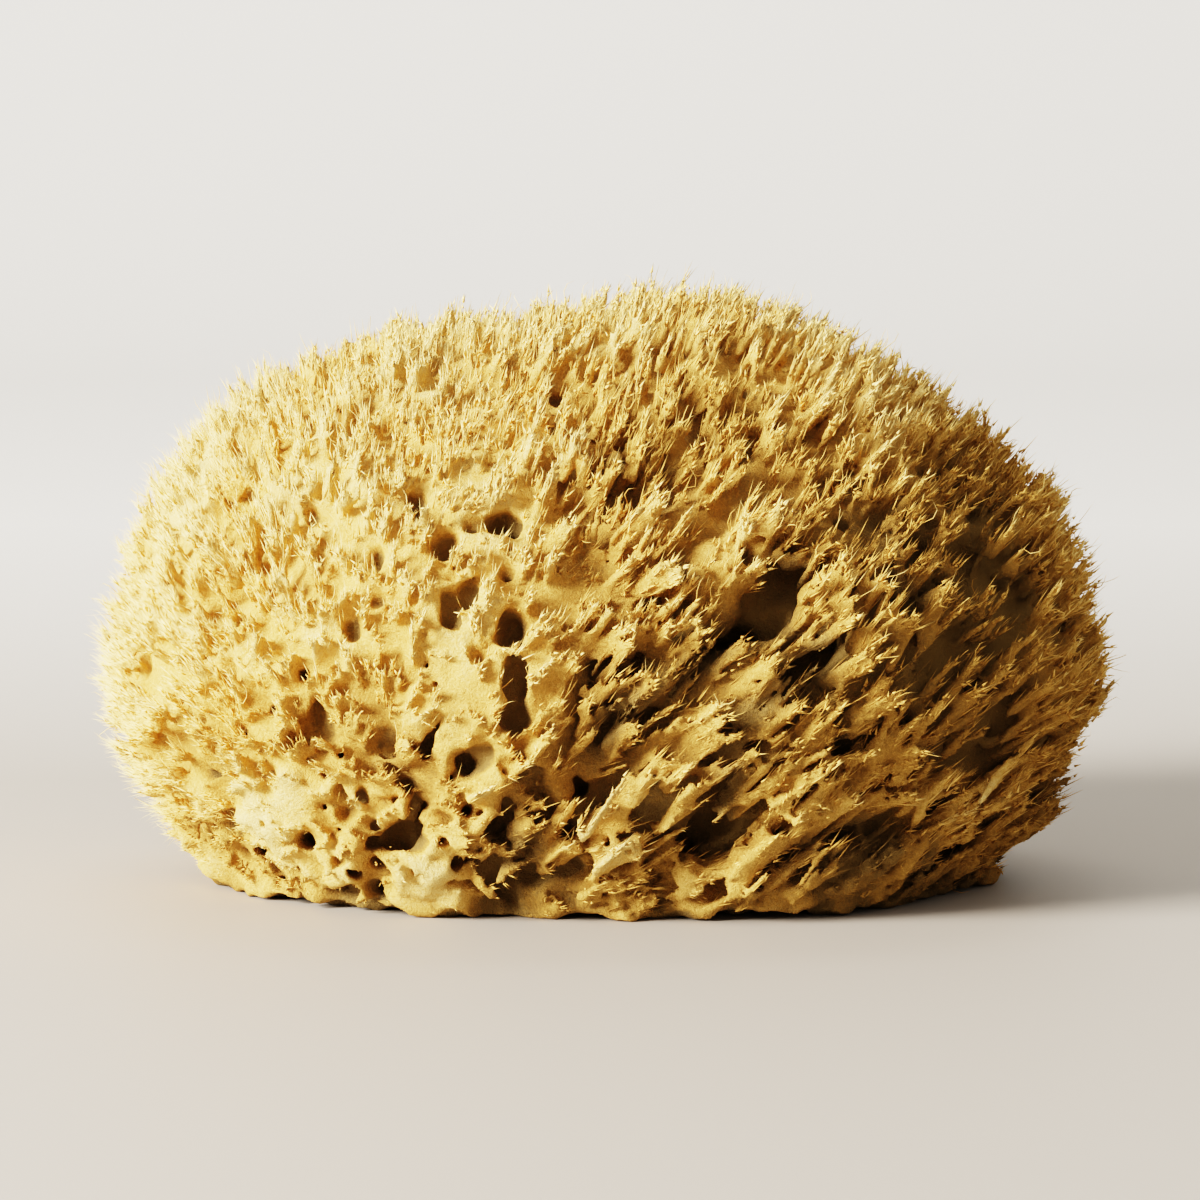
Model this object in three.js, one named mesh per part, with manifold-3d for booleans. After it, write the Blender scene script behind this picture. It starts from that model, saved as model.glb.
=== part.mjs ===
// A natural wool sponge, dried and trimmed: one grown piece of soft, fibrous skeleton.
// The solid reaches the tips of the tufts, and the large water canals are bored into it.
// Millimetres, +Z up. The origin is the middle of the trimmed base that it rests on;
// +X runs along the longest side and -Y is the front.
import * as THREE from "three";
import { mergeVertices, toCreasedNormals } from "three/addons/utils/BufferGeometryUtils.js";
import Module from "manifold-3d";

const WIDTH = 150;
const DEPTH = 124;
const HEIGHT = 88;

// The point that the tufts and canals fan out from, low down and left of the middle.
const GROWTH_POINT = new THREE.Vector3(-13, 0, 4);

// The front outline, [x, z] from the base's middle, anticlockwise from the right shoulder.
// It dips below the base, which the trimming cut then takes off level.
const OUTLINE = [
  [74.6, 30],
  [73, 39],
  [70, 49],
  [64, 59],
  [55.5, 66.8],
  [44, 75.5],
  [32, 82],
  [20, 86.5],
  [7, 88],
  [-14, 85],
  [-31, 82.5],
  [-49, 77],
  [-61, 67.5],
  [-68, 57],
  [-73.5, 44],
  [-75, 32],
  [-74, 20],
  [-68, 9.5],
  [-57.5, 0],
  [-44, -7],
  [0, -12],
  [38, -9],
  [51.5, -1.5],
  [57.5, 5],
  [66, 12],
  [71.5, 20],
];
const OUTLINE_STEPS = 240;
const MIDDLE_HEIGHT = 36;
// How square the body is between its outline and its front and back: 2 is an ellipse.
const SQUARENESS = 2.1;

// Swellings of the outer surface: where each one points, its height and how far it spreads.
const SWELLINGS = [
  { toward: [0.5, -0.85, 0.1], height: 2.5, spread: 0.35 },
  { toward: [-0.45, -0.85, 0.3], height: 2, spread: 0.4 },
  { toward: [0.25, 0.85, 0.45], height: 3, spread: 0.4 },
  { toward: [-0.6, 0.8, -0.1], height: 3.5, spread: 0.4 },
  { toward: [0.55, 0.8, 0.1], height: -2.5, spread: 0.3 },
  { toward: [0.3, -0.75, 0.6], height: -2, spread: 0.28 },
  { toward: [-0.3, -0.55, 0.8], height: -2, spread: 0.25 },
  { toward: [-0.2, 0.6, 0.8], height: -2, spread: 0.3 },
];
const RIPPLE_HEIGHT = 0.7;
const SPHERE_DETAIL = 14;
// Facets that meet at more than this angle, in radians, keep a sharp edge between them.
const CREASE_ANGLE = 0.6;

// The large canals that open at the front: mouth [x, z], mouth radius and depth.
const FRONT_CANALS = [
  { x: 25, z: 48, radius: 4.8, depth: 26 },
  { x: -13.5, z: 60, radius: 3.6, depth: 22 },
  { x: 12.5, z: 54, radius: 3, depth: 18 },
  { x: 12, z: 75, radius: 2.8, depth: 16 },
  { x: -2.5, z: 22, radius: 3.1, depth: 22 },
  { x: 6.5, z: 17.5, radius: 4, depth: 9 },
  { x: 18, z: 13, radius: 4.4, depth: 24 },
  { x: -28, z: 18.5, radius: 2.8, depth: 18 },
  { x: -23.5, z: 41, radius: 2.6, depth: 18 },
];
// The large canals of the top, back and ends: angle round from +X, angle up, radius, depth.
const OTHER_CANALS = [
  { round: 6, up: 30, radius: 3.4, depth: 20 },
  { round: 24, up: 12, radius: 2.8, depth: 16 },
  { round: 42, up: 30, radius: 4, depth: 22 },
  { round: 66, up: 14, radius: 3.2, depth: 18 },
  { round: 84, up: 40, radius: 3.4, depth: 20 },
  { round: 98, up: 12, radius: 4.4, depth: 24 },
  { round: 116, up: 28, radius: 2.8, depth: 16 },
  { round: 134, up: 12, radius: 3.6, depth: 20 },
  { round: 152, up: 34, radius: 3.8, depth: 22 },
  { round: 176, up: 14, radius: 3, depth: 18 },
  { round: 196, up: 40, radius: 3.2, depth: 18 },
  { round: 60, up: 62, radius: 3.8, depth: 22 },
  { round: 130, up: 58, radius: 3.4, depth: 20 },
  { round: 10, up: 56, radius: 2.8, depth: 16 },
];
const CANAL_SIDES = 11;
// A canal closes in a round end inside: [share of depth, share of radius].
const CANAL_PROFILE = [
  [1, 0],
  [0.94, 0.42],
  [0.7, 0.68],
  [0.25, 0.84],
  [0, 1],
];
// The bore runs on out past its mouth by this share of its radius, widening by the other.
const MOUTH_RISE = 1.7;
const MOUTH_FLARE = 1.3;

const wasm = await Module();
wasm.setup();

// A closed geometry as a manifold solid.
function solidFrom(geometry) {
  const bare = geometry.clone();
  bare.deleteAttribute("normal");
  bare.deleteAttribute("uv");
  const merged = mergeVertices(bare, 1e-4);
  const mesh = new wasm.Mesh({
    numProp: 3,
    vertProperties: merged.attributes.position.array,
    triVerts: new Uint32Array(merged.index.array),
  });
  return new wasm.Manifold(mesh);
}

function geometryFrom(solid) {
  const mesh = solid.getMesh();
  const geometry = new THREE.BufferGeometry();
  geometry.setAttribute("position", new THREE.BufferAttribute(mesh.vertProperties, 3));
  geometry.setIndex(new THREE.BufferAttribute(mesh.triVerts, 1));
  return toCreasedNormals(geometry, CREASE_ANGLE);
}

// The outline as a table of angle and distance from the middle of the body, by angle.
function polarOutline() {
  const corners = OUTLINE.map(([x, z]) => new THREE.Vector3(x, 0, z - MIDDLE_HEIGHT));
  const curve = new THREE.CatmullRomCurve3(corners, true, "centripetal");
  return curve
    .getPoints(OUTLINE_STEPS)
    .slice(0, OUTLINE_STEPS)
    .map((p) => ({ angle: Math.atan2(p.z, p.x), distance: Math.hypot(p.x, p.z) }))
    .sort((a, b) => a.angle - b.angle);
}

const outline = polarOutline();

function outlineDistance(angle) {
  const found = outline.findIndex((p) => p.angle >= angle);
  const after = found < 0 ? 0 : found;
  const before = (after + outline.length - 1) % outline.length;
  const turn = 2 * Math.PI;
  const gap = (outline[after].angle - outline[before].angle + turn) % turn;
  const share = ((angle - outline[before].angle + turn) % turn) / gap;
  return THREE.MathUtils.lerp(outline[before].distance, outline[after].distance, share);
}

// A signed power, which turns an ellipse's sine and cosine into a squarer curve's.
function squared(value) {
  return Math.sign(value) * Math.abs(value) ** (2 / SQUARENESS);
}

// How far the surface stands out or in from the plain body in a direction.
function swelling(direction) {
  const swells = SWELLINGS.map(({ toward, height, spread }) => {
    const off = direction.angleTo(new THREE.Vector3(...toward).normalize());
    return height * Math.exp(-((off / spread) ** 2));
  });
  const { x, y, z } = direction;
  const ripple = Math.sin(9 * x + 4 * y) * Math.cos(7 * z - 3 * x) + Math.sin(11 * y + 5 * z) * 0.6;
  return swells.reduce((sum, s) => sum + s, 0) + RIPPLE_HEIGHT * ripple;
}

// The whole body before trimming: the outline, filled out to the front and back.
function grownBody() {
  const sphere = new THREE.IcosahedronGeometry(1, SPHERE_DETAIL);
  const points = sphere.getAttribute("position");
  const direction = new THREE.Vector3();
  for (let i = 0; i < points.count; i++) {
    direction.fromBufferAttribute(points, i).normalize();
    const flat = Math.hypot(direction.x, direction.z);
    const distance = outlineDistance(Math.atan2(direction.z, direction.x));
    const reach = flat > 1e-9 ? (squared(flat) * distance) / flat : 0;
    const out = new THREE.Vector3(
      direction.x * reach,
      (squared(direction.y) * DEPTH) / 2,
      direction.z * reach,
    );
    out.addScaledVector(direction, swelling(direction));
    points.setXYZ(i, out.x, out.y, out.z + MIDDLE_HEIGHT);
  }
  return sphere;
}

// Stretches the body a little so that, once cut level at z = 0, it has the stated size.
function fittedBody() {
  const body = grownBody();
  body.computeBoundingBox();
  const { min, max } = body.boundingBox;
  body.translate(-(min.x + max.x) / 2, -(min.y + max.y) / 2, 0);
  body.scale(WIDTH / (max.x - min.x), DEPTH / (max.y - min.y), HEIGHT / max.z);
  return body;
}

function trimmingBlock() {
  const block = new THREE.BoxGeometry(2 * WIDTH, 2 * DEPTH, 2 * HEIGHT);
  return block.translate(0, 0, -HEIGHT);
}

// A canal's bore, mouth at the origin and running down -Z, before it is placed.
function canalBore({ radius, depth }) {
  const profile = CANAL_PROFILE.map(
    ([down, across]) => new THREE.Vector2(across * radius, -down * depth),
  );
  profile.push(new THREE.Vector2(MOUTH_FLARE * radius, MOUTH_RISE * radius));
  profile.push(new THREE.Vector2(0, MOUTH_RISE * radius));
  return new THREE.LatheGeometry(profile, CANAL_SIDES).rotateX(Math.PI / 2);
}

// Puts a bore at its mouth, pointing back to where the sponge grew from.
function placedCanal(canal, mouth) {
  const outwards = mouth.clone().sub(GROWTH_POINT).normalize();
  const turn = new THREE.Quaternion().setFromUnitVectors(new THREE.Vector3(0, 0, 1), outwards);
  return canalBore(canal)
    .applyQuaternion(turn)
    .translate(mouth.x, mouth.y, mouth.z);
}

// Where a ray from a point first meets the body.
function meeting(body, from, towards) {
  const target = new THREE.Mesh(body, new THREE.MeshBasicMaterial({ side: THREE.DoubleSide }));
  return new THREE.Raycaster(from, towards.normalize()).intersectObject(target)[0].point;
}

function frontMouth(body, { x, z }) {
  return meeting(body, new THREE.Vector3(x, -DEPTH, z), new THREE.Vector3(0, 1, 0));
}

function otherMouth(body, { round, up }) {
  const towards = new THREE.Vector3().setFromSphericalCoords(
    1,
    THREE.MathUtils.degToRad(90 - up),
    THREE.MathUtils.degToRad(round + 90),
  );
  const outwards = new THREE.Vector3(towards.x, -towards.z, towards.y);
  return meeting(body, GROWTH_POINT, outwards);
}

function spongeGeometry() {
  const body = fittedBody();
  let solid = solidFrom(body).subtract(solidFrom(trimmingBlock()));
  for (const canal of FRONT_CANALS) {
    solid = solid.subtract(solidFrom(placedCanal(canal, frontMouth(body, canal))));
  }
  for (const canal of OTHER_CANALS) {
    solid = solid.subtract(solidFrom(placedCanal(canal, otherMouth(body, canal))));
  }
  return geometryFrom(solid);
}

const spongin = new THREE.MeshStandardMaterial({
  color: new THREE.Color(0.83, 0.62, 0.27),
  roughness: 0.95,
  metalness: 0,
});

const sponge = new THREE.Mesh(spongeGeometry(), spongin);
sponge.name = "sponge";

const part = new THREE.Group();
part.add(sponge);

export default part;
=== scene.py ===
"""A natural wool sponge, dried and trimmed, standing on a pale floor.

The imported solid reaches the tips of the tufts. The skeleton inside it is shaped as a
distance field: flesh set in from the solid's surface, tufts leaning away from where the
sponge grew, water canals bored through both. Frayed ends and fuzz, which the field is too
coarse for, are fine spikes. The shaping is in millimetres; meshes go out in metres.
"""

import math

import bpy
import numpy as np
import openvdb
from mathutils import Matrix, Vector


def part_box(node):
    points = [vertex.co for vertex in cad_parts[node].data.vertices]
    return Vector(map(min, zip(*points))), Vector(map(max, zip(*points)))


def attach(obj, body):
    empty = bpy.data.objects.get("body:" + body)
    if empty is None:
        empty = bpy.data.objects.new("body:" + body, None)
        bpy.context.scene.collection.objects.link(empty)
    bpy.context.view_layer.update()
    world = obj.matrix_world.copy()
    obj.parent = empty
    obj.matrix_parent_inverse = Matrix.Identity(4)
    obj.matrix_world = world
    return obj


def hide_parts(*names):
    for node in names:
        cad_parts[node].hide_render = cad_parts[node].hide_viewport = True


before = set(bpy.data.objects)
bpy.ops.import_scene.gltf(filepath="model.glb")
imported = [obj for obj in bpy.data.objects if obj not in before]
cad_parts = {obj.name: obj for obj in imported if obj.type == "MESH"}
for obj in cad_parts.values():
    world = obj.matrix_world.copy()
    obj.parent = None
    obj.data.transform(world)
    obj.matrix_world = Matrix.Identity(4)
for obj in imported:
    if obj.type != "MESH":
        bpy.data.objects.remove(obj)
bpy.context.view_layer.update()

MM = 0.001
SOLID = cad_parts["sponge"]
LOW, HIGH = (np.array(corner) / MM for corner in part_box("sponge"))
WIDTH, DEPTH, HEIGHT = HIGH - LOW

# The point that tufts and canals fan out from, low down at the left of the front.
GROWTH_POINT = np.array([-0.23 * WIDTH, -0.12 * DEPTH, 0.09 * HEIGHT])

SEED = 20
chance = np.random.default_rng(SEED)


# ---------------------------------------------------------------- numbers in space


def unit(vectors):
    return vectors / np.maximum(np.linalg.norm(vectors, axis=-1, keepdims=True), 1e-9)


def smooth_step(low, high, values):
    t = np.clip((values - low) / (high - low), 0, 1)
    return t * t * (3 - 2 * t)


def dot(first, second):
    return np.einsum("ij,ij->i", first, second)


class Block:
    """A dense block of voxels over the solid; fields are arrays of its shape."""

    def __init__(self, voxel, low, high):
        self.voxel = voxel
        self.start = np.floor(low / voxel).astype(int)
        self.shape = tuple(np.ceil(high / voxel).astype(int) - self.start + 1)

    def transform(self):
        return openvdb.createLinearTransform(voxelSize=self.voxel)

    def axis(self, i):
        """Where the voxels stand along one axis, in mm."""
        return (self.start[i] + np.arange(self.shape[i], dtype=np.float32)) * self.voxel

    def distances(self, points, faces, reach):
        """Signed distance to a closed mesh, or a soup of them, negative inside."""
        grid = openvdb.FloatGrid.createLevelSetFromPolygons(
            points.astype(np.float32),
            triangles=faces.astype(np.uint32),
            transform=self.transform(),
            halfWidth=reach / self.voxel,
        )
        values = np.empty(self.shape, np.float32)
        grid.copyToArray(values, ijk=tuple(int(i) for i in self.start))
        return values

    def spread(self, lattice, weights):
        """A small lattice of values blended out to every voxel by each axis's weights."""
        for i in range(3):
            lattice = np.moveaxis(np.tensordot(weights[i], lattice, axes=(1, i)), 0, i)
        return np.ascontiguousarray(lattice, np.float32)

    def noise(self, lump, seed, stretch=(1, 1, 1)):
        """Rounded random lumps about that many mm apart, with a spread of 1 about 0."""
        weights = []
        for i in range(3):
            place = self.axis(i) / (lump * stretch[i])
            cell = np.floor(place).astype(int)
            t = (place - cell)[:, None]
            taps = np.hstack([
                (1 - t) ** 3, 3 * t**3 - 6 * t**2 + 4, -3 * t**3 + 3 * t**2 + 3 * t + 1, t**3
            ])
            row = np.zeros((len(place), cell[-1] - cell[0] + 4), np.float32)
            np.put_along_axis(row, cell[:, None] - cell[0] + np.arange(4), taps / 6, axis=1)
            weights.append(row)
        lattice = np.random.default_rng(seed).uniform(-1, 1, [w.shape[1] for w in weights])
        values = self.spread(lattice.astype(np.float32), weights)
        return values / values.std()

    def refined(self, coarse, values):
        """A coarser block's field at this block's voxels."""
        weights = []
        for i in range(3):
            place = self.axis(i) / coarse.voxel - coarse.start[i]
            place = np.clip(place, 0, coarse.shape[i] - 1.001)
            cell = place.astype(int)
            row = np.zeros((len(place), coarse.shape[i]), np.float32)
            np.put_along_axis(row, cell[:, None], 1 - (place - cell)[:, None], axis=1)
            np.put_along_axis(row, cell[:, None] + 1, (place - cell)[:, None], axis=1)
            weights.append(row)
        return self.spread(values, weights)

    def at(self, values, places):
        """A field's values between the voxels."""
        where = np.clip(places / self.voxel - self.start, 0, np.array(self.shape) - 1.001)
        cell = where.astype(np.int32)
        t = (where - cell).astype(np.float32)
        total = 0
        for corner in np.ndindex(2, 2, 2):
            share = np.prod(np.where(corner, t, 1 - t), axis=-1)
            i, j, k = (cell + corner).T
            total = total + share * values[i, j, k]
        return total

    def slope(self, values, places):
        """The way that a field rises at each place."""
        step = np.eye(3) * self.voxel
        return unit(np.stack(
            [self.at(values, places + s) - self.at(values, places - s) for s in step], axis=1
        ))

    def surface(self, values):
        """The closed mesh where the values cross zero, cut off where the block ends."""
        grid = openvdb.FloatGrid(BACKGROUND)
        grid.transform = self.transform()
        grid.copyFromArray(values, ijk=tuple(int(i) for i in self.start))
        points, triangles, quads = grid.convertToPolygons(0.0, 0.0)
        faces = np.concatenate([triangles, quads[:, [0, 1, 2]], quads[:, [0, 2, 3]]])
        return points, faces.astype(np.int32)[:, ::-1]


# How deep the fields of depth reach, how far the canals are closed over, and the value of
# a field outside its block, all in mm.
REACH = 18.0
CLOSING = 6.0
BACKGROUND = 4.0

coarse = Block(1.4, LOW - (9, 9, REACH + CLOSING + 4), HIGH + 9)
fine = Block(0.5, LOW - (3, 3, 2), HIGH + 4)


# ---------------------------------------------------------------- the solid's surface


def mesh_arrays(mesh):
    mesh.calc_loop_triangles()
    points = np.empty(len(mesh.vertices) * 3, np.float32)
    mesh.vertices.foreach_get("co", points)
    faces = np.empty(len(mesh.loop_triangles) * 3, np.int32)
    mesh.loop_triangles.foreach_get("vertices", faces)
    return points.reshape(-1, 3) / MM, faces.reshape(-1, 3)


def scatter(points, faces, count):
    """Random places on a mesh, even by area, with each one's normal."""
    a, b, c = (points[faces[:, i]] for i in range(3))
    across = np.cross(b - a, c - a)
    area = np.linalg.norm(across, axis=1)
    face = chance.choice(len(faces), count, p=area / area.sum())
    u, v = chance.random((2, count, 1))
    over = u + v > 1
    u, v = np.where(over, 1 - u, u), np.where(over, 1 - v, v)
    places = a[face] + u * (b[face] - a[face]) + v * (c[face] - a[face])
    return places, unit(across)[face]


def thinned(places, spacing):
    """The places left, by number, once none is nearer than its spacing to an earlier one."""
    spacing = np.broadcast_to(spacing, len(places))
    size = float(spacing.max())
    cells = {}
    kept = []
    keys = np.floor(places / size).astype(int).tolist()
    near = [tuple(n) for n in np.array(list(np.ndindex(3, 3, 3))) - 1]
    for i, (key, place, room) in enumerate(zip(keys, places.tolist(), (spacing**2).tolist())):
        x, y, z = place
        clear = all(
            (px - x) ** 2 + (py - y) ** 2 + (pz - z) ** 2 >= room
            for dx, dy, dz in near
            for px, py, pz in cells.get((key[0] + dx, key[1] + dy, key[2] + dz), ())
        )
        if clear:
            cells.setdefault(tuple(key), []).append(place)
            kept.append(i)
    return np.array(kept)


def mirrored(points, faces):
    """The solid without its trimmed base, and its mirror image below, as one closed body."""
    sides = faces[(points[faces][:, :, 2] > 0.05).any(axis=1)]
    both = np.concatenate([points, points * (1, 1, -1)])
    return both, np.concatenate([sides, sides + len(points)])


# Two depths below the surface: the bored solid's, and with its canals closed over. Neither
# counts the trimmed base as surface.
skin_points, skin_faces = mesh_arrays(SOLID.data)
bored_depth = -coarse.distances(*mirrored(skin_points, skin_faces), REACH)
round_skin = coarse.surface(-bored_depth - CLOSING)
coarse_depth = -coarse.distances(*round_skin, REACH + CLOSING) - CLOSING
depth = fine.refined(coarse, coarse_depth)
bored_depth = fine.refined(coarse, bored_depth)

X, Y, Z = np.meshgrid(*(fine.axis(i) for i in range(3)), indexing="ij", sparse=True)

# ---------------------------------------------------------------- where the wool grows


def growth_way(places):
    """The way that tufts and canals run at each place: away from the growth point, and up."""
    way = unit(places - GROWTH_POINT)
    way[:, 2] += 0.5 * smooth_step(-0.3 * WIDTH, 0.25 * WIDTH, places[:, 0])
    return unit(way)


broad = fine.noise(15, seed=3)
middle = fine.noise(7.5, seed=5)

# How full the wool is: 0 on the trimmed foot and where the flesh lies bare, 1 where full.
FOOT_TOP = 0.07 * HEIGHT
bare_left = smooth_step(0.10 * WIDTH, -0.12 * WIDTH, X)
front = smooth_step(-0.1 * DEPTH, -0.35 * DEPTH, Y)
wool_low = FOOT_TOP - 0.03 * HEIGHT
wool_high = FOOT_TOP + (0.04 + 0.44 * bare_left * front) * HEIGHT
wool = smooth_step(0, 1, (Z + 0.045 * HEIGHT * broad - wool_low) / (wool_high - wool_low))

# How high the wool stands above the flesh: less at the left end, where it is soft and fine,
# and round the open holes left of the middle.
PILE = 6.2
soft_end = smooth_step(-0.28 * WIDTH, -0.46 * WIDTH, X)
holed = np.exp(-(((X + 19) / 16) ** 2) - ((Z - 38) / 19) ** 2) * front
pile = 0.5 + (PILE - 0.5 - 3.6 * soft_end - 3.0 * holed) * wool

# Valleys between the ridges of wool: random ones, and the two long furrows of the front.
FURROWS = (
    ((-1, 28), (4.5, 32.5), (10, 36), (18, 41), (24, 48)),
    ((14, 14), (16, 22), (17, 28), (23, 34), (29, 39)),
)


def near_route(route, wide):
    """1 along a route across the front, [x, z], falling to 0 about twice that wide away."""
    best = np.full((fine.shape[0], 1, fine.shape[2]), 1e9, np.float32)
    for (x0, z0), (x1, z1) in zip(route, route[1:]):
        length = math.hypot(x1 - x0, z1 - z0)
        ux, uz = (x1 - x0) / length, (z1 - z0) / length
        t = np.clip((X - x0) * ux + (Z - z0) * uz, 0, length)
        best = np.minimum(best, (X - x0 - t * ux) ** 2 + (Z - z0 - t * uz) ** 2)
    return np.exp(-best / wide**2) * (Y < 0)


to_right = smooth_step(-0.1 * WIDTH, 0.15 * WIDTH, X) * smooth_step(0.38 * WIDTH, 0.26 * WIDTH, X)
mid_front = np.exp(-(((X - 2) / 24) ** 2) - ((Z - 56) / 20) ** 2) * front
valley = 1.6 * smooth_step(0.2, 1.6, broad)
valley = valley + (2.0 + 1.4 * to_right) * smooth_step(0.5, 1.8, middle)
valley += 3.4 * mid_front * smooth_step(0.3, 1.3, fine.noise(5.0, seed=29, stretch=(0.85, 1, 1.3)))
valley *= 0.15 + 0.85 * wool
furrow = np.maximum(*(near_route(route, 2.5) for route in FURROWS))
valley += 5.0 * furrow

# Hills and soft dimples of the flesh, which shows where the wool is thin.
bare = 1 - wool
hills = 0.9 * fine.noise(8, seed=7) + 0.75 * fine.noise(4, seed=17)
dimples = 3.2 * smooth_step(0.1, 1.5, fine.noise(3.4, seed=19, stretch=(1, 1, 1.5)))
hollow = (0.3 + 0.7 * bare) * hills + (0.2 + 0.8 * bare) * dimples
hollow = np.maximum(hollow, 0.3 * hollow - 0.5)
flesh_set_in = 1.1 + 0.3 * bare + valley + pile + hollow
flesh_depth = flesh_set_in.copy()
grain = (1 + 1.1 * bare) * (0.22 * fine.noise(1.9, seed=11) + 0.18 * fine.noise(1.15, seed=12))
field = flesh_set_in + grain - depth

# ---------------------------------------------------------------- strands


def cross_axes(along, helper):
    """Two directions square to each given one, the first of them square to the helper."""
    across = unit(np.cross(along, helper))
    return across, np.cross(along, across)


def spikes(
    roots, tips, bends, root_radius, tip_radius, sides, rings, flatness, flat_way, neck=1.0
):
    """Closed tapering spikes, each bent sideways by its bend at half way.

    The neck is how thick a spike is at its very root, against the root radius.

    Gives points (count, points in one, 3), the faces of all and each point's share of length.
    """
    along = unit(tips - roots)
    across, over = cross_axes(along, flat_way)
    shares = np.linspace(0, 1, rings + 1)[:-1]
    turn = 2 * np.pi * np.arange(sides) / sides
    round_about = (
        np.cos(turn)[None, :, None] * across[:, None, :] * flatness
        + np.sin(turn)[None, :, None] * over[:, None, :]
    )
    ring_points = []
    for share in shares:
        middle_line = roots + (tips - roots) * share + bends * (4 * share * (1 - share))
        radius = root_radius + (tip_radius - root_radius) * share
        if share == 0:
            radius = radius * neck
        ring_points.append(middle_line[:, None, :] + radius[:, None, None] * round_about)
    points = np.concatenate([*ring_points, tips[:, None, :]], axis=1)
    faces = []
    for ring in range(rings - 1):
        for i in range(sides):
            a, b = ring * sides + i, ring * sides + (i + 1) % sides
            faces += [(a, b, b + sides), (a, b + sides, a + sides)]
    last, tip = (rings - 1) * sides, rings * sides
    faces += [(last + i, last + (i + 1) % sides, tip) for i in range(sides)]
    faces += [(0, i + 1, i) for i in range(1, sides - 1)]
    number = points.shape[1] * np.arange(len(roots))
    every = (np.array(faces)[None] + number[:, None, None]).reshape(-1, 3)
    return points, every, np.concatenate([np.repeat(shares, sides), [1.0]])


def joined(first, second, blend):
    """Two fields as one body, with a fillet of about blend mm."""
    h = np.clip(0.5 + 0.5 / blend * (second - first), 0, 1)
    return second + (first - second) * h - blend * h * (1 - h)


def carved(body, cutter, blend):
    return -joined(-body, cutter, blend)


def on_front(x, z):
    """The place on the front of the sponge's outer surface at x and z."""
    y = np.arange(LOW[1] - 1, 0, 0.25)
    column = coarse.at(coarse_depth, np.stack([np.full_like(y, x), y, np.full_like(y, z)], axis=1))
    return np.array([x, y[np.argmax(column > 0)], z])


# Tufts, spread over the outside: wide ones in the ridges of the front, fine ones elsewhere.
TUFT_TRIES = 100000
TUFT_SPACING = 2.2
# Places this near the closed-over surface, in mm, are on the outside and not in a canal.
ON_SKIN = 1.2
places, _ = scatter(skin_points, skin_faces, TUFT_TRIES)
places = places[np.abs(coarse.at(coarse_depth, places)) < ON_SKIN]
ways = growth_way(places)
outs = -coarse.slope(coarse_depth, places)
outer = (places[:, 2] > 1.6) & (dot(outs, ways) > 0.12) & (fine.at(furrow, places) < 0.35)
places, ways, outs = places[outer], ways[outer], outs[outer]
x, y, z = places.T
coarseness = smooth_step(0.26 * WIDTH, 0.12 * WIDTH, x) * smooth_step(0.72, 0.4, z / HEIGHT)
coarseness *= smooth_step(-0.15 * DEPTH, -0.35 * DEPTH, y)
softness = smooth_step(-0.28 * WIDTH, -0.44 * WIDTH, x)
tuft_spacing = TUFT_SPACING + 0.9 * coarseness * (1 - softness) - 0.35 * softness
kept = thinned(places, tuft_spacing)
tuft_tips, tuft_ways, tuft_outs, tuft_size = (a[kept] for a in (places, ways, outs, tuft_spacing))
tufts = len(kept)

tuft_wool = fine.at(wool, tuft_tips)
tuft_ways = unit(tuft_ways + 0.13 * chance.normal(size=tuft_ways.shape))
upright = np.maximum(dot(tuft_ways, tuft_outs), 0.5)
tuft_high = fine.at(pile, tuft_tips) * chance.uniform(0.85, 1.2, tufts) + 0.9
tuft_long = tuft_high / upright
sink = np.minimum(fine.at(valley, tuft_tips), 5.0) * 0.85 + chance.uniform(-0.3, 1.8, tufts)
tuft_tips = tuft_tips - tuft_ways * sink[:, None] / upright[:, None]
blade_way, _ = cross_axes(tuft_ways, tuft_outs + 0.7 * chance.normal(size=tuft_outs.shape))

strand_count = 1.7 * (tuft_size - TUFT_SPACING) + 3.3 + chance.uniform(-0.8, 0.8, tufts)
strand_count = np.round(strand_count).astype(int)
tuft = np.repeat(np.arange(tufts), strand_count)
number = np.arange(len(tuft)) - np.repeat(np.cumsum(strand_count) - strand_count, strand_count)
middle_number = (strand_count[tuft] - 1) / 2
fan = number - middle_number + chance.uniform(-0.2, 0.2, len(tuft))
way, side, size = tuft_ways[tuft], blade_way[tuft], tuft_size[tuft]
off_middle = np.abs(fan) / np.maximum(middle_number, 0.5)
long = tuft_long[tuft] * (1 - 0.24 * off_middle**1.5 + chance.uniform(-0.2, 0.06, len(tuft)))
roots = (
    tuft_tips[tuft] - way * (tuft_long[tuft] * 1.2)[:, None]
    + side * (fan * (0.26 + 0.12 * size))[:, None]
)
tips = (
    roots + way * (long * 1.2)[:, None] + side * (fan * 0.14 * size)[:, None]
    + 0.22 * chance.normal(size=way.shape)
)
radius = (0.26 + 0.10 * size) * chance.uniform(0.8, 1.2, len(tuft))
radius *= 1 - 0.2 * softness[kept][tuft]

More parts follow.
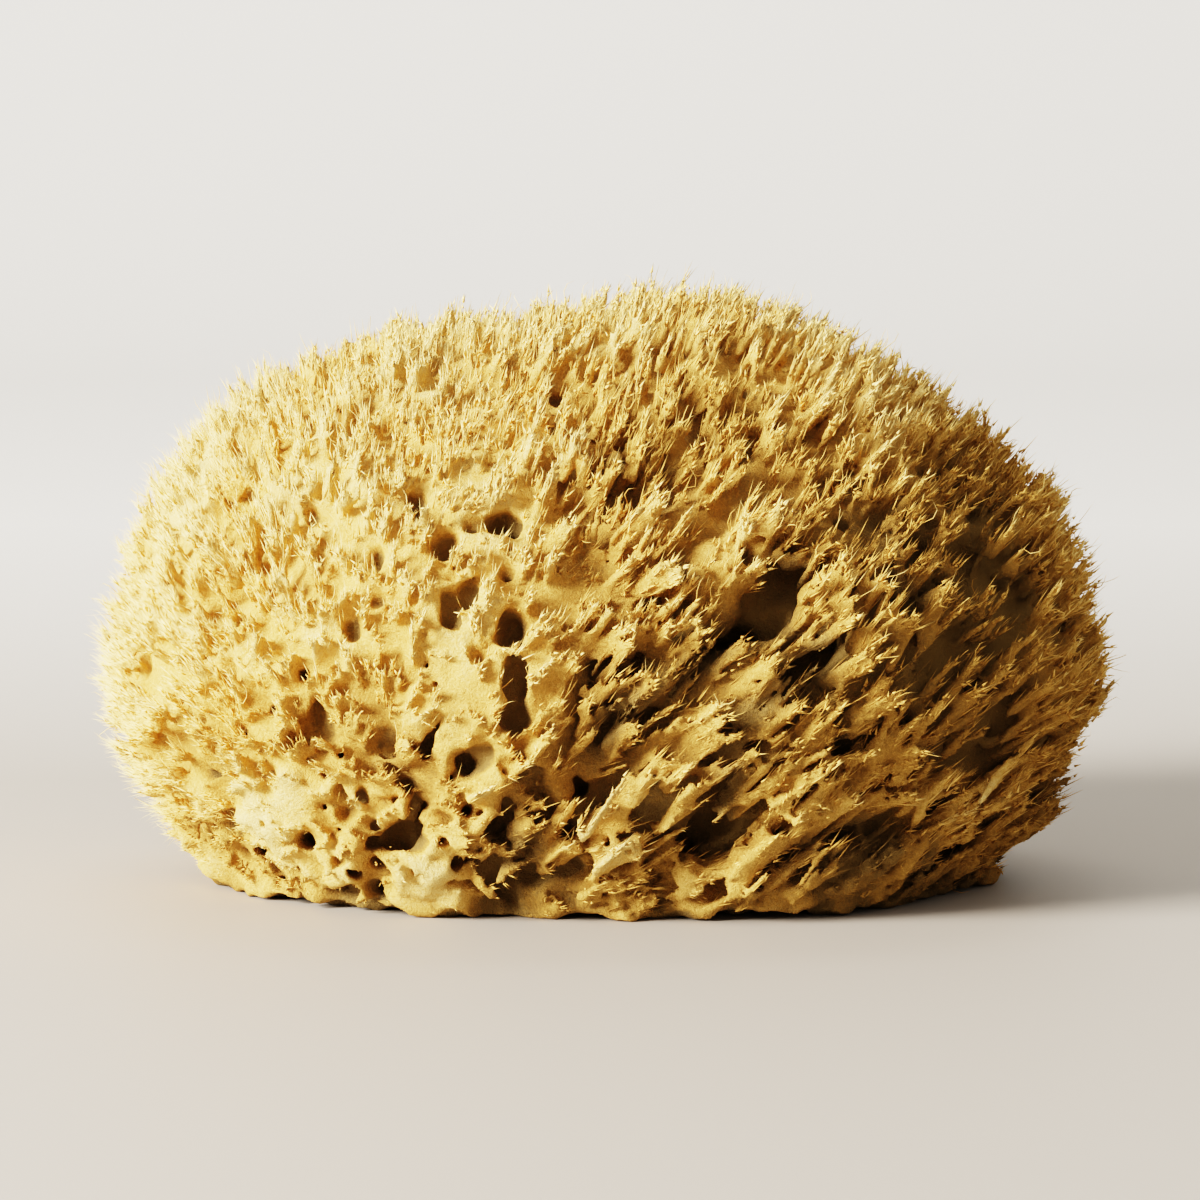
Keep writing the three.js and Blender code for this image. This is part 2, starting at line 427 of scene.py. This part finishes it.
# The long ragged tongues beside the furrows: root [x, z], tip [x, z] and width.
TONGUES = (
    (13.6, 30.5, 25.6, 38.9, 3.6), (11.8, 34.1, 20.8, 41.6, 3.0), (22.6, 22.6, 31.4, 34.1, 4.6),
    (6.4, 22.6, 18.4, 30.5, 5.6), (14.8, 17.8, 21.8, 26.8, 2.2), (26.2, 20.8, 38.3, 27.5, 3.8),
    (20.8, 14.7, 30.7, 17.1, 3.4), (35.3, 22.6, 44.9, 23.2, 3.2), (5.8, 36.4, 15.4, 43.8, 3.8),
    (2.8, 46.0, 11.2, 51.0, 3.4), (-0.8, 25.0, 5.2, 29.8, 3.2), (-0.2, 31.0, 7.0, 36.4, 3.4),
    (8.5, 27.5, 16.0, 33.5, 3.6), (28.5, 41.0, 35.5, 47.0, 3.6), (28.0, 33.0, 37.0, 39.0, 3.2),
    (-3.0, 38.0, 4.0, 42.5, 3.0), (17.5, 52.0, 24.0, 59.5, 3.0), (31.0, 28.0, 41.0, 33.5, 3.0),
    (33.5, 16.0, 44.0, 17.5, 2.8), (-9.0, 51.0, -4.5, 59.0, 3.2), (3.0, 54.0, 8.5, 61.0, 3.0),
)
for x0, z0, x1, z1, wide in TONGUES:
    root, tip = on_front(x0, z0) + (0, 8.5, 0), on_front(x1, z1) + (0, 0.3, 0)
    count = int(round(wide / 0.6)) + 1
    offset = (np.linspace(-0.5, 0.5, count) + chance.uniform(-0.05, 0.05, count)) * wide
    along = unit(tip - root)
    out = -coarse.slope(coarse_depth, tip[None])[0]
    across = unit(np.cross(along, out))
    short = 2.8 * chance.random(count) ** 1.3 + 2.0 * np.abs(offset / wide)
    root = root + across * offset[:, None] * 0.5 + along * chance.uniform(-3, 1, (count, 1))
    tip = tip + across * offset[:, None] * 1.1 - along * short[:, None]
    roots, tips = np.concatenate([roots, root]), np.concatenate([tips, tip])
    radius = np.concatenate([radius, chance.uniform(0.45, 0.6, count)])
    tuft = np.concatenate([tuft, np.full(count, tufts)])
    number = np.concatenate([number, np.arange(count)])
    side = np.concatenate([side, np.tile(across, (count, 1))])
    tuft_outs, tuft_wool = np.concatenate([tuft_outs, out[None]]), np.append(tuft_wool, 1.0)
    tufts += 1

strand_roots, strand_tips, strand_radius = roots, tips, radius
strand_long = np.linalg.norm(tips - roots, axis=1)
strand_way = unit(tips - roots)
strand_out = tuft_outs[tuft]
strand_wool = tuft_wool[tuft]
strand_bends = (
    -strand_out * (0.035 * strand_long)[:, None]
    + 0.03 * strand_long[:, None] * chance.normal(size=strand_way.shape)
)
STRAND_TIP = 0.22

tuft_field = None
for group in range(3):
    these = number % 3 == group
    points, faces, _ = spikes(
        strand_roots[these], strand_tips[these], strand_bends[these], strand_radius[these],
        np.full(these.sum(), STRAND_TIP), 6, 5, 1.15, side[these], 0.4,
    )
    strands = fine.distances(points.reshape(-1, 3), faces, 2.0)
    tuft_field = strands if tuft_field is None else joined(tuft_field, strands, 0.5)

field = joined(field, tuft_field, 0.8)

# ---------------------------------------------------------------- canals

# Open holes of the bare flesh at the front: mouth [x, z], radius and how much taller.
HOLES = (
    (-25, 62.5, 1.7, 1.7), (-30, 27, 2.2, 1.0), (-17, 41.5, 1.6, 1.2), (-17.5, 49.5, 1.4, 1.4),
    (-14, 35, 1.5, 1.5), (-10.5, 33.5, 1.3, 1.1), (-17.5, 24, 2.0, 0.8), (-8, 22.5, 1.7, 1.3),
    (-15, 15.5, 1.2, 1.1), (-13.5, 12, 1.0, 1.0), (-27.5, 11, 2.2, 1.1), (29.5, 40, 1.8, 0.8),
    (-3.5, 48, 1.7, 1.2), (20, 21, 1.7, 1.2), (-8, 5, 2.2, 1.3), (-24.5, 47.5, 1.1, 1.4),
    (-21.5, 47, 1.4, 1.8), (-15.5, 52.5, 1.2, 0.9), (-11.5, 44, 2.1, 1.3), (-7, 42, 1.0, 0.7),
    (-17.5, 38, 1.0, 0.9), (-25, 27, 0.8, 1.2), (-37, 45, 1.6, 1.0), (-42.5, 30, 1.3, 1.8),
    (-41.5, 20, 1.3, 1.1), (-54.5, 17.5, 1.5, 1.6), (-36.5, 15, 0.9, 1.0), (-21, 8, 1.1, 1.2),
    (28, 11, 1.3, 0.7), (45, 18, 1.5, 0.7), (-3, 9.5, 1.2, 0.8), (37, 26, 1.6, 0.7),
)


hole_mouths = np.array([on_front(x, z) for x, z, _, _ in HOLES])
hole_radius = 1.3 * np.array([radius for _, _, radius, _ in HOLES])
hole_tall = np.array([tall for _, _, _, tall in HOLES])

CANAL_TRIES = 30000
CANAL_SPACING = 5.0
PORE_SPACING = 3.8
places, _ = scatter(skin_points, skin_faces, CANAL_TRIES)
outs = -coarse.slope(coarse_depth, places)
places = places[dot(outs, growth_way(places)) > 0.25]
x, y, z = places.T
listed_front = (y < -0.2 * DEPTH) & (x < 0.25 * WIDTH) & (z < 0.62 * HEIGHT)
on_skin = np.abs(coarse.at(coarse_depth, places)) < ON_SKIN
pores = places[listed_front & on_skin]
places = places[~listed_front & on_skin]
places = places[thinned(places, CANAL_SPACING)]
many = len(places)
# Small pores between the listed holes of the front.
pores = np.concatenate([hole_mouths, pores])
pores = pores[thinned(pores, PORE_SPACING)][len(hole_mouths):]
mouths = np.concatenate([hole_mouths, places, pores])
canal_radius = np.exp(chance.normal(math.log(1.15), 0.38, many)).clip(0.5, 2.6)
canal_radius *= 1 + 0.25 * smooth_step(0, 0.2, places[:, 0] / WIDTH) * (places[:, 1] < 0)
pore_radius = chance.uniform(0.35, 0.75, len(pores))
canal_radius = np.concatenate([hole_radius, canal_radius, pore_radius])
canal_tall = np.concatenate([hole_tall, chance.uniform(1.0, 1.6, many + len(pores))])
canal_way = growth_way(mouths) + 0.16 * chance.normal(size=mouths.shape)
canal_way -= 0.45 * coarse.slope(coarse_depth, mouths)
canal_way = unit(canal_way)
canal_depth = chance.uniform(5, 8, len(mouths)) + 1.6 * canal_radius
canal_bends = chance.normal(0, 0.8, mouths.shape)
upwards = np.broadcast_to([0.0, 0.0, 1.0], mouths.shape)
CANAL_SIDES, CANAL_RINGS = 10, 6
points, faces, _ = spikes(
    mouths + canal_way * 3.0, mouths - canal_way * canal_depth[:, None], canal_bends,
    canal_radius * 1.15, canal_radius * 0.5, CANAL_SIDES, CANAL_RINGS, 1.0, upwards,
)
# Taller than wide: each ring's points are stretched along the second of its two axes.
rings = points[:, :-1].reshape(len(mouths), CANAL_RINGS, CANAL_SIDES, 3)
ring_middle = rings.mean(axis=2, keepdims=True)
_, over = cross_axes(-canal_way, upwards)
offset = rings - ring_middle
along_over = np.einsum("mrsk,mk->mrs", offset, over)[..., None] * over[:, None, None, :]
offset += along_over * (canal_tall - 1)[:, None, None, None]
points[:, :-1] = (ring_middle + offset).reshape(len(mouths), CANAL_RINGS * CANAL_SIDES, 3)
canals = fine.distances(points.reshape(-1, 3), faces, 2.0)

# The small canals, and the solid's own large ones, with torn edges.
torn = (0.62 * fine.noise(2.6, seed=21) + 0.24 * fine.noise(1.3, seed=22)).clip(-1.5, 1.5)
field = carved(field, canals + torn, 0.6)
field = carved(field, np.maximum(-depth - 3, bored_depth) + 1.2 * torn + 0.3, 0.7)
field = np.maximum(field, grain - depth - 0.3)
# The trim is ragged: it leaves the edge of the base up to RAGGED mm above the floor.
RAGGED = 2.2
ragged = 0.6 + 0.5 * fine.noise(3.6, seed=23) + 0.45 * fine.noise(1.6, seed=24)
field = np.maximum(field, np.clip(ragged, 0, RAGGED) - Z)

# ---------------------------------------------------------------- the body's meshes


def mesh_object(name, points, faces):
    mesh = bpy.data.meshes.new(name)
    mesh.vertices.add(len(points))
    mesh.vertices.foreach_set("co", (points * MM).astype(np.float32).ravel())
    mesh.loops.add(faces.size)
    mesh.loops.foreach_set("vertex_index", faces.astype(np.int32).ravel())
    mesh.polygons.add(len(faces))
    mesh.polygons.foreach_set("loop_start", np.arange(0, faces.size, 3, dtype=np.int32))
    mesh.polygons.foreach_set("use_smooth", np.ones(len(faces), bool))
    mesh.update(calc_edges=True)
    made = bpy.data.objects.new(name, mesh)
    bpy.context.scene.collection.objects.link(made)
    return made


def applied(piece, kind, **settings):
    """Puts a modifier on a piece and makes its result the piece's mesh."""
    modifier = piece.modifiers.new("shape", kind)
    for key, value in settings.items():
        setattr(modifier, key, value)
    graph = bpy.context.evaluated_depsgraph_get()
    piece.data = bpy.data.meshes.new_from_object(piece.evaluated_get(graph))
    piece.modifiers.clear()


def island_numbers():
    """Nodes that write the number of each point's own joined-up piece of mesh."""
    tree = bpy.data.node_groups.new("island_numbers", "GeometryNodeTree")
    tree.interface.new_socket("Mesh", in_out="INPUT", socket_type="NodeSocketGeometry")
    tree.interface.new_socket("Mesh", in_out="OUTPUT", socket_type="NodeSocketGeometry")
    start, end = tree.nodes.new("NodeGroupInput"), tree.nodes.new("NodeGroupOutput")
    island = tree.nodes.new("GeometryNodeInputMeshIsland")
    store = tree.nodes.new("GeometryNodeStoreNamedAttribute")
    store.data_type, store.domain = "INT", "POINT"
    store.inputs["Name"].default_value = "island"
    tree.links.new(start.outputs[0], store.inputs["Geometry"])
    tree.links.new(island.outputs["Island Index"], store.inputs["Value"])
    tree.links.new(store.outputs["Geometry"], end.inputs[0])
    return tree


ISLANDS = island_numbers()

# The voxels round the kept mesh, which fibres may grow from.
kept_near = np.zeros(fine.shape, bool)


def mark_kept(points):
    """Notes the voxels round the points of a kept mesh."""
    cells = np.round(points / fine.voxel - fine.start).astype(int)
    for step in np.ndindex(3, 3, 3):
        i, j, k = np.clip(cells + step - np.array(1), 0, np.array(fine.shape) - 1).T
        kept_near[i, j, k] = True


def is_kept(places):
    i, j, k = np.round(places / fine.voxel - fine.start).astype(int).T
    return kept_near[i, j, k]


def largest_island(points, faces):
    """The mesh without the crumbs and bubbles that aren't joined to its largest part."""
    piece = mesh_object("whole", points, faces)
    applied(piece, "NODES", node_group=ISLANDS)
    island = np.empty(len(points), np.int32)
    piece.data.attributes["island"].data.foreach_get("value", island)
    bpy.data.objects.remove(piece)
    wanted = island == np.bincount(island).argmax()
    number = np.cumsum(wanted) - 1
    return points[wanted], number[faces[wanted[faces[:, 0]]]]


def sections(piece, cuts):
    """Splits a piece where x passes each cut; the parts share their edge points and normals."""
    mesh = piece.data
    points, faces = mesh_arrays(mesh)
    normals = np.empty(len(mesh.vertices) * 3, np.float32)
    mesh.vertices.foreach_get("normal", normals)
    normals = normals.reshape(-1, 3)
    which = np.searchsorted(cuts, points[faces][:, :, 0].mean(axis=1))
    made = []
    for i, name in enumerate(("left", "middle", "right")):
        these = faces[which == i]
        used = np.unique(these)
        number = np.zeros(len(points), np.int32)
        number[used] = np.arange(len(used))
        part = mesh_object(f"sponge_{name}", points[used], number[these])
        part.data.normals_split_custom_set_from_vertices(normals[used])
        made.append(part)
    bpy.data.objects.remove(piece)
    return made


# The body is split into three meshes, cut at these x. One mesh may hold 200,000
# triangles.
BODY_TRIANGLES = 420000
CUTS = (-23, 24)
points, faces = fine.surface(field)
whole = largest_island(points, faces)
mark_kept(whole[0])
body = mesh_object("sponge", *whole)
applied(body, "DECIMATE", ratio=BODY_TRIANGLES / len(whole[1]))
body_pieces = sections(body, CUTS)
pieces = list(body_pieces)


def tone_and_painted_shading(places):
    """How dark the fibre is drawn, 0 at the palest tips and 1 in the deepest gaps: its own tone,
    with painted shade in the gaps, holes, furrows and dimples and painted light towards the left
    and top.
    """
    x, y, z = places.T
    # Painted light: paler towards the left and the top, where the lamp falls.
    painted_light = np.clip(0.5 - 1.1 * x / WIDTH + 1.3 * (z / HEIGHT - 0.5), 0, 1)
    # Darker at the low right of the base: partly the fibre's own darker foot, partly painted shade
    # near the floor.
    low_right_tone_and_painted_shade = smooth_step(0.19 * HEIGHT, 0.11 * HEIGHT, z) * smooth_step(0.08, 0.2, x / WIDTH)
    uneven = 0.04 * fine.at(broad, places) + 0.04 * fine.at(middle, places)
    deep = fine.at(depth, places)
    # Painted shade inside the holes and canals.
    hole_painted_shade = smooth_step(0.5, 2.4, deep - fine.at(flesh_depth, places))
    # Darker with depth below the outside: partly the fibre's own deeper tone, partly painted shade
    # in the gaps, less of it under the painted light; painted shade along the furrows.
    below = deep / (9.3 + 8.7 * painted_light**2) + 0.65 * hole_painted_shade + 0.4 * fine.at(furrow, places)
    # Painted shade at the low right and in the flesh's dimples; the bare flesh has a deeper tone
    # of its own.
    below += 0.45 * low_right_tone_and_painted_shade + 0.17 * fine.at(bare, places) + 0.10 * fine.at(hollow, places)
    # Painted light at the left and top, and an uneven tone of the fibre's own.
    return below + 0.04 - 0.16 * painted_light + uneven


def store(piece, name, values):
    attribute = piece.data.attributes.new(name, "FLOAT", "POINT")
    attribute.data.foreach_set("value", values.astype(np.float32).ravel())


# Each body piece keeps its tone, with the painted light and shade, as an attribute.
for piece in body_pieces:
    store(piece, "tone_and_painted_shading", tone_and_painted_shading(mesh_arrays(piece.data)[0]))

# ---------------------------------------------------------------- frayed ends and fuzz


def spike_map(sides, rings):
    """Where a spike's faces lie on its own square of the map, corner by corner."""
    def flat(i, ring):
        return i / sides, 0.1 + 0.9 * ring / rings

    corners = []
    for ring in range(rings - 1):
        for i in range(sides):
            a, b, c, d = flat(i, ring), flat(i + 1, ring), flat(i + 1, ring + 1), flat(i, ring + 1)
            corners += [a, b, c, a, c, d]
    for i in range(sides):
        corners += [flat(i, rings - 1), flat(i + 1, rings - 1), flat(i + 0.5, rings)]
    corners += [(0.1, 0.0), (0.9, 0.0), (0.5, 0.05)] * (sides - 2)
    return np.array(corners)


def spike_piece(name, roots, tips, bends, radius, tip_radius, sides, rings, flatness=1.0):
    points, faces, share = spikes(
        roots, tips, bends, radius, np.full(len(roots), tip_radius), sides, rings, flatness,
        unit(chance.normal(size=roots.shape)),
    )
    flat = points.reshape(-1, 3)
    piece = mesh_object(name, flat, faces)
    tone = np.repeat(chance.uniform(-0.5, 0.5, len(roots)), points.shape[1])
    share = np.tile(share, len(roots))
    # The fibres' tone with painted light and shade, paler towards each tip and varied at random.
    store(piece, "tone_and_painted_shading", tone_and_painted_shading(flat) - 0.16 * share + 0.16 * tone)
    across = math.ceil(math.sqrt(len(roots)))
    cell = np.stack(np.divmod(np.arange(len(roots)), across), axis=1)
    corners = (cell[:, None, :] + 0.08 + 0.84 * spike_map(sides, rings)[None]) / across
    layer = piece.data.uv_layers.new(name="OFBake")
    layer.uv.foreach_set("vector", corners.astype(np.float32).ravel())
    pieces.append(piece)


def growing(roots, tips):
    """Which spikes start in the flesh or a tuft and stay in the sponge's outer bounds."""
    rooted = (fine.at(field, roots) < 0.12) & is_kept(roots)
    return rooted & (fine.at(depth, tips) > -1.8) & (tips[:, 2] > 0.1)


def some(wanted, most):
    """At most so many of the wanted numbers, picked evenly."""
    chosen = np.flatnonzero(wanted)
    return chosen[np.sort(chance.permutation(len(chosen))[:most])]


# Frayed ends: short spikes along the last part of each strand.
FRAYS_A_STRAND = 8
FRAYED_ENDS = 40000
strand = np.repeat(np.arange(len(tuft)), FRAYS_A_STRAND)
strand_soft = smooth_step(-0.24 * WIDTH, -0.44 * WIDTH, strand_tips[:, 0])
fray_share = (0.25 + 0.75 * strand_wool) * (1 - 0.5 * strand_soft)
strand = strand[chance.random(len(strand)) < fray_share[strand]]
along, full = strand_way[strand], strand_wool[strand]
back = strand_long[strand] * 0.4 * chance.random(len(strand)) ** 1.6
inset = chance.uniform(0.3, 1.1, len(strand)) + back
roots = strand_tips[strand] - along * inset[:, None] + 0.13 * chance.normal(size=along.shape)
fray_way = unit(along + 0.34 * chance.normal(size=along.shape))
fray_long = chance.uniform(0.6, 1.7, len(strand)) * (0.5 + 0.5 * full)
tips = roots + fray_way * fray_long[:, None]
chosen = some(growing(roots, tips), FRAYED_ENDS)
fray_soft = smooth_step(-0.1 * WIDTH, -0.4 * WIDTH, roots[chosen, 0])
spike_piece(
    "frayed_ends", roots[chosen], tips[chosen], np.zeros_like(roots[chosen]),
    chance.uniform(0.12, 0.23, len(chosen)) * (1 - 0.45 * fray_soft), 0.03, 3, 1, 1.3,
)

# Fibres that lie along the strands, just proud of them.
FIBRES_A_STRAND = 4
STRAND_FIBRES = 26000
strand = np.repeat(np.arange(len(tuft)), FIBRES_A_STRAND)
along = strand_way[strand]
start = chance.uniform(0.25, 0.75, len(strand))
middle_line = (
    strand_roots[strand] + (strand_tips - strand_roots)[strand] * start[:, None]
    + strand_bends[strand] * (4 * start * (1 - start))[:, None]
)
spread_way = chance.normal(size=along.shape) + 0.8 * strand_out[strand]
spread_way = unit(spread_way - along * dot(spread_way, along)[:, None])
thick = strand_radius[strand] + (STRAND_TIP - strand_radius[strand]) * start
roots = middle_line + spread_way * (thick * 0.8)[:, None]
fibre_way = unit(along + 0.10 * spread_way + 0.08 * chance.normal(size=along.shape))
fibre_long = chance.uniform(0.35, 0.6, len(strand)) * strand_long[strand].clip(1.5, 7)
tips = roots + fibre_way * fibre_long[:, None]
chosen = some(growing(roots, tips), STRAND_FIBRES)
spike_piece(
    "strand_fibres", roots[chosen], tips[chosen], np.zeros_like(roots[chosen]),
    chance.uniform(0.08, 0.14, len(chosen)), 0.03, 3, 1, 1.0,
)

# Loose curly fibres that stand out past the tuft tips.
CURLS_TRIED = 4000
CURLY_FIBRES = 2500
curl = some(chance.random(len(tuft)) < 0.30 * strand_wool, CURLS_TRIED)
roots = strand_tips[curl] - 1.2 * strand_way[curl]
curl_long = chance.uniform(1.8, 4.2, len(curl))
tips = roots + curl_long[:, None] * unit(
    strand_way[curl] + 0.3 * chance.normal(size=(len(curl), 3))
)
bends = 0.17 * curl_long[:, None] * chance.normal(size=roots.shape)
chosen = some(growing(roots, tips), CURLY_FIBRES)
spike_piece(
    "curly_fibres", roots[chosen], tips[chosen], bends[chosen],
    chance.uniform(0.05, 0.09, len(chosen)), 0.03, 3, 3,
)

# Fuzz: short fine hairs all over the outside of the body, longest at the soft left end.
FUZZ = 66000
FUZZ_TRIES = 130000
places, normals = [], []
for piece in body_pieces:
    where, facing = scatter(*mesh_arrays(piece.data), FUZZ_TRIES)
    places.append(where)
    normals.append(facing)
places, normals = np.concatenate(places), np.concatenate(normals)
ways = growth_way(places)
full = fine.at(wool, places)
deep = fine.at(depth, places)
soft = smooth_step(-0.24 * WIDTH, -0.44 * WIDTH, places[:, 0])
in_front = smooth_step(0.1 * DEPTH, -0.2 * DEPTH, places[:, 1])
wanted = (0.5 + 0.5 * in_front + 1.3 * soft) * smooth_step(4 + 4 * full, 1.5 + 2.5 * full, deep)
wanted *= (dot(normals, ways) > -0.3) & (places[:, 2] > 0.3)
chosen = chance.choice(len(places), FUZZ, replace=False, p=wanted / wanted.sum())
places, normals, ways, full, soft = (a[chosen] for a in (places, normals, ways, full, soft))
hair_way = ways * (0.3 + full[:, None]) + 0.45 * normals + 0.3 * chance.normal(size=ways.shape)
hair_way = unit(hair_way)
hair_long = chance.uniform(0.45, 1.05, len(places)) * (0.8 + 0.85 * full + 2.4 * soft)
hair_radius = chance.uniform(0.035, 0.06, len(places))
for name, part in (("fuzz_1", slice(FUZZ // 2)), ("fuzz_2", slice(FUZZ // 2, None))):
    spike_piece(
        name, places[part] - hair_way[part] * 0.15,
        places[part] + hair_way[part] * hair_long[part][:, None],
        np.zeros_like(places[part]), hair_radius[part], 0.015, 3, 1,
    )

# ---------------------------------------------------------------- finish


class Shade:
    """A socket of a material's nodes that Python's operators work on."""

    def __init__(self, tree, socket):
        self.tree = tree
        self.socket = socket

    def maths(self, operation, other, swapped=False):
        node = self.tree.nodes.new("ShaderNodeMath")
        node.operation = operation
        sides = (other, self) if swapped else (self, other)
        for entry, side in zip(node.inputs, sides):
            if isinstance(side, Shade):
                self.tree.links.new(side.socket, entry)
            else:
                entry.default_value = side
        return Shade(self.tree, node.outputs[0])

    def __add__(self, other):
        return self.maths("ADD", other)

    __radd__ = __add__

    def __mul__(self, other):
        return self.maths("MULTIPLY", other)

    __rmul__ = __mul__

    def __sub__(self, other):
        return self.maths("SUBTRACT", other)

    def __rsub__(self, other):
        return self.maths("SUBTRACT", other, swapped=True)


class Finish:
    """A material whose nodes are made and linked by plain calls."""

    def __init__(self, name):
        self.material = bpy.data.materials.new(name)
        self.material.use_nodes = True
        self.tree = self.material.node_tree
        self.tree.nodes.clear()

    def node(self, kind, sockets=None, stops=(), output=0, **settings):
        """A node of a kind: its settings and ramp stops first, then its sockets."""
        made = self.tree.nodes.new(kind)
        for key, value in settings.items():
            setattr(made, key, value)
        for i, (place, colour) in enumerate(stops):
            elements = made.color_ramp.elements
            element = elements[i] if i < len(elements) else elements.new(place)
            element.position = place
            element.color = (*colour, 1.0)
        for key, value in (sockets or {}).items():
            if isinstance(value, Shade):
                self.tree.links.new(value.socket, made.inputs[key])
            else:
                made.inputs[key].default_value = value
        return Shade(self.tree, made.outputs[output])

    def attribute(self, name):
        return self.node("ShaderNodeAttribute", output="Fac", attribute_name=name)


# The fibre's colours, from the palest tips to the deepest gaps, where the darker stops also stand
# for painted shade, and its felted grain: how many lumps to a metre and how high they stand, in
# metres.
FELT_SCALE = 2000.0
FELT_HEIGHT = 0.0009
TIP = (0.96, 0.68, 0.27)
GOLD = (0.89, 0.515, 0.145)
AMBER = (0.57, 0.30, 0.075)
DEEP = (0.28, 0.175, 0.06)


def spongin(name, hairs):
    finish = Finish(name)
    place = finish.node("ShaderNodeTexCoord", output="Object")
    felt = finish.node(
        "ShaderNodeTexNoise",
        {"Vector": place, "Scale": FELT_SCALE, "Detail": 4.0, "Roughness": 0.75},
    )
    # The stored tone with its painted light and shade, varied by the felt's grain.
    level = finish.attribute("tone_and_painted_shading") + (felt - 0.5) * (0.2 if hairs else 0.9)
    colour = finish.node(
        "ShaderNodeValToRGB", {"Fac": level},
        stops=((0.0, TIP), (0.32, GOLD), (0.62, AMBER), (1.0, DEEP)),
    )
    sockets = {
        "Base Color": colour,
        "Roughness": 0.95,
        "Specular IOR Level": 0.1,
    }
    if not hairs:
        sockets["Normal"] = finish.node(
            "ShaderNodeBump", {"Height": felt, "Strength": 1.0, "Distance": FELT_HEIGHT}
        )
    shader = finish.node("ShaderNodeBsdfPrincipled", sockets)
    end = finish.tree.nodes.new("ShaderNodeOutputMaterial")
    finish.tree.links.new(shader.socket, end.inputs["Surface"])
    return finish.material


flesh_finish = spongin("spongin_flesh", False)
fibre_finish = spongin("spongin_fibre", True)
for piece in pieces:
    piece.data.materials.clear()
    piece.data.materials.append(flesh_finish if piece in body_pieces else fibre_finish)
    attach(piece, "root")
for piece in body_pieces:
    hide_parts("sponge")

# ---------------------------------------------------------------- studio

FLOOR_COLOUR = (0.39, 0.35, 0.305)
WALL_COLOUR = (0.90, 0.875, 0.83)


def sweep():
    """Floor and backdrop in one curved sheet, the floor giving way to the paler wall."""
    half, back, rise, bend = 3.0, 1.6, 2.5, 0.5
    floor_end, wall_start = 0.10, 0.55
    profile = [(-half, 0.0), (floor_end, 0.0), (wall_start, 0.0)]
    profile += [
        (back - bend + bend * math.sin(a), bend - bend * math.cos(a))
        for a in np.linspace(0, math.pi / 2, 16)
    ]
    profile += [(back, rise)]
    points = np.array([(x, y, z) for x in (-half, half) for y, z in profile]) / MM
    n = len(profile)
    faces = []
    for i in range(n - 1):
        faces += [(i, n + i, n + i + 1), (i, n + i + 1, i + 1)]
    made = mesh_object("floor", points, np.array(faces))
    store(made, "wall", (points[:, 1] * MM > (floor_end + wall_start) / 2).astype(float))
    finish = Finish("pale_floor")
    colour = finish.node(
        "ShaderNodeValToRGB", {"Fac": finish.attribute("wall")},
        stops=((0.0, FLOOR_COLOUR), (1.0, WALL_COLOUR)),
    )
    shader = finish.node("ShaderNodeBsdfPrincipled", {"Base Color": colour, "Roughness": 0.6})
    end = finish.tree.nodes.new("ShaderNodeOutputMaterial")
    finish.tree.links.new(shader.socket, end.inputs["Surface"])
    made.data.materials.append(finish.material)


def softbox(name, place, aim, size, power, colour):
    lamp = bpy.data.lights.new(name, "AREA")
    lamp.shape, lamp.size, lamp.energy, lamp.color = "SQUARE", size, power, colour
    made = bpy.data.objects.new(name, lamp)
    made.location = place
    made.rotation_euler = (Vector(aim) - Vector(place)).to_track_quat("-Z", "Y").to_euler()
    bpy.context.scene.collection.objects.link(made)


def studio():
    scene = bpy.context.scene
    sweep()
    centre = (0, 0, HEIGHT * MM * 0.45)
    softbox("window", (-1.0, -0.56, 0.48), centre, 0.45, 40.0, (1.0, 0.945, 0.87))
    softbox("backdrop", (0, 0.75, 1.7), (0, 1.6, 0.5), 0.8, 6.0, (1.0, 0.99, 0.97))
    softbox("room", (0.3, -1.2, 1.3), centre, 1.6, 2.4, (1.0, 0.98, 0.95))
    world = bpy.data.worlds.new("room_light")
    world.use_nodes = True
    world.node_tree.nodes["Background"].inputs["Color"].default_value = (1.0, 0.97, 0.92, 1)
    world.node_tree.nodes["Background"].inputs["Strength"].default_value = 0.24
    scene.world = world
    camera = bpy.data.objects.new("camera", bpy.data.cameras.new("camera"))
    scene.collection.objects.link(camera)
    scene.camera = camera
    away, elevation = 0.80, math.radians(6)
    aim = Vector((-0.0015, 0, 0.0396))
    camera.location = aim + away * Vector((0, -math.cos(elevation), math.sin(elevation)))
    camera.rotation_euler = (aim - camera.location).to_track_quat("-Z", "Y").to_euler()
    across = 0.172
    camera.data.sensor_width = 36
    camera.data.lens = 36 * away / across
    scene.view_settings.view_transform = "Filmic"
    scene.view_settings.look = "High Contrast"
    scene.view_settings.exposure = 0.6


studio()
